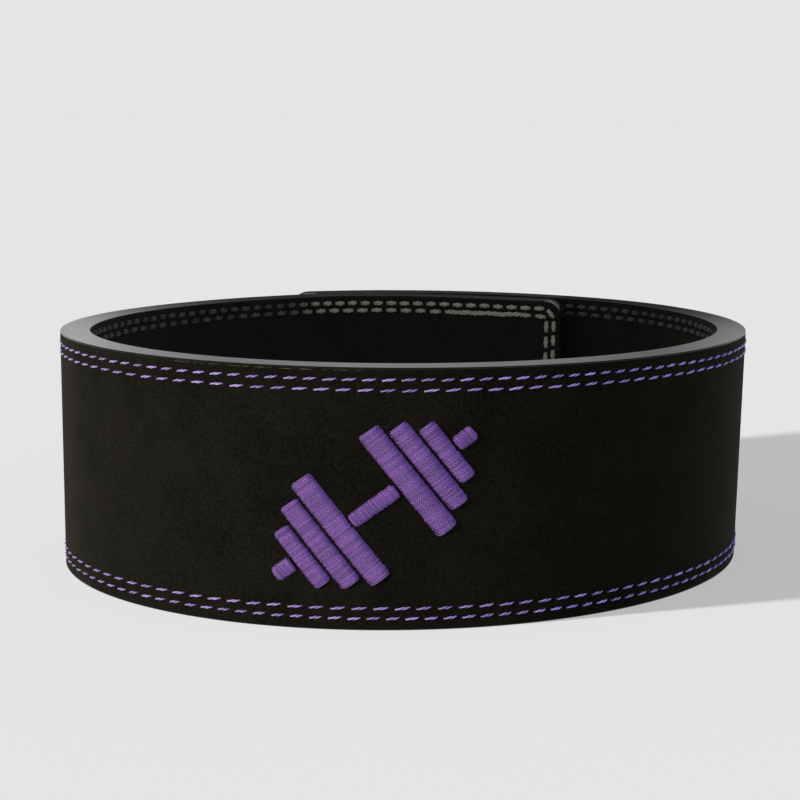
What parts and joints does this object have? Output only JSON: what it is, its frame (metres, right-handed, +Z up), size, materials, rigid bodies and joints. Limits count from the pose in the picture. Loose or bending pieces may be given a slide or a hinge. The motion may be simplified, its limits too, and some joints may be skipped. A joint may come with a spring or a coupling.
{
  "type": "weightlifting belt",
  "caption": "Stiff suede-faced leather lifting belt standing on its edge as a closed loop, lapped and clasped at the back, with a satin-stitched barbell on the front.",
  "frame": {"origin": "middle of the box on the surface that the belt stands on", "axes": "+Z up across the strap's height, -Y towards the embroidered front, +X to the right as seen from the front"},
  "size_m": [0.2974, 0.2954, 0.1],
  "materials": {
    "painted_edge_leather": "satin",
    "outer_suede": "matte",
    "inner_suede": "matte",
    "purple_thread": "satin",
    "dark_steel": "satin"
  },
  "bodies": {
    "root": {"leather_core": "painted_edge_leather", "outer_facing": "outer_suede", "inner_facing": "inner_suede", "emblem_bar": "purple_thread", "emblem_plate_large_lower": "purple_thread", "emblem_plate_middle_lower": "purple_thread", "emblem_plate_small_lower": "purple_thread", "emblem_sleeve_lower": "purple_thread", "emblem_plate_large_upper": "purple_thread", "emblem_plate_middle_upper": "purple_thread", "emblem_plate_small_upper": "purple_thread", "emblem_sleeve_upper": "purple_thread", "clasp_plate": "dark_steel"}
  },
  "joints": []
}
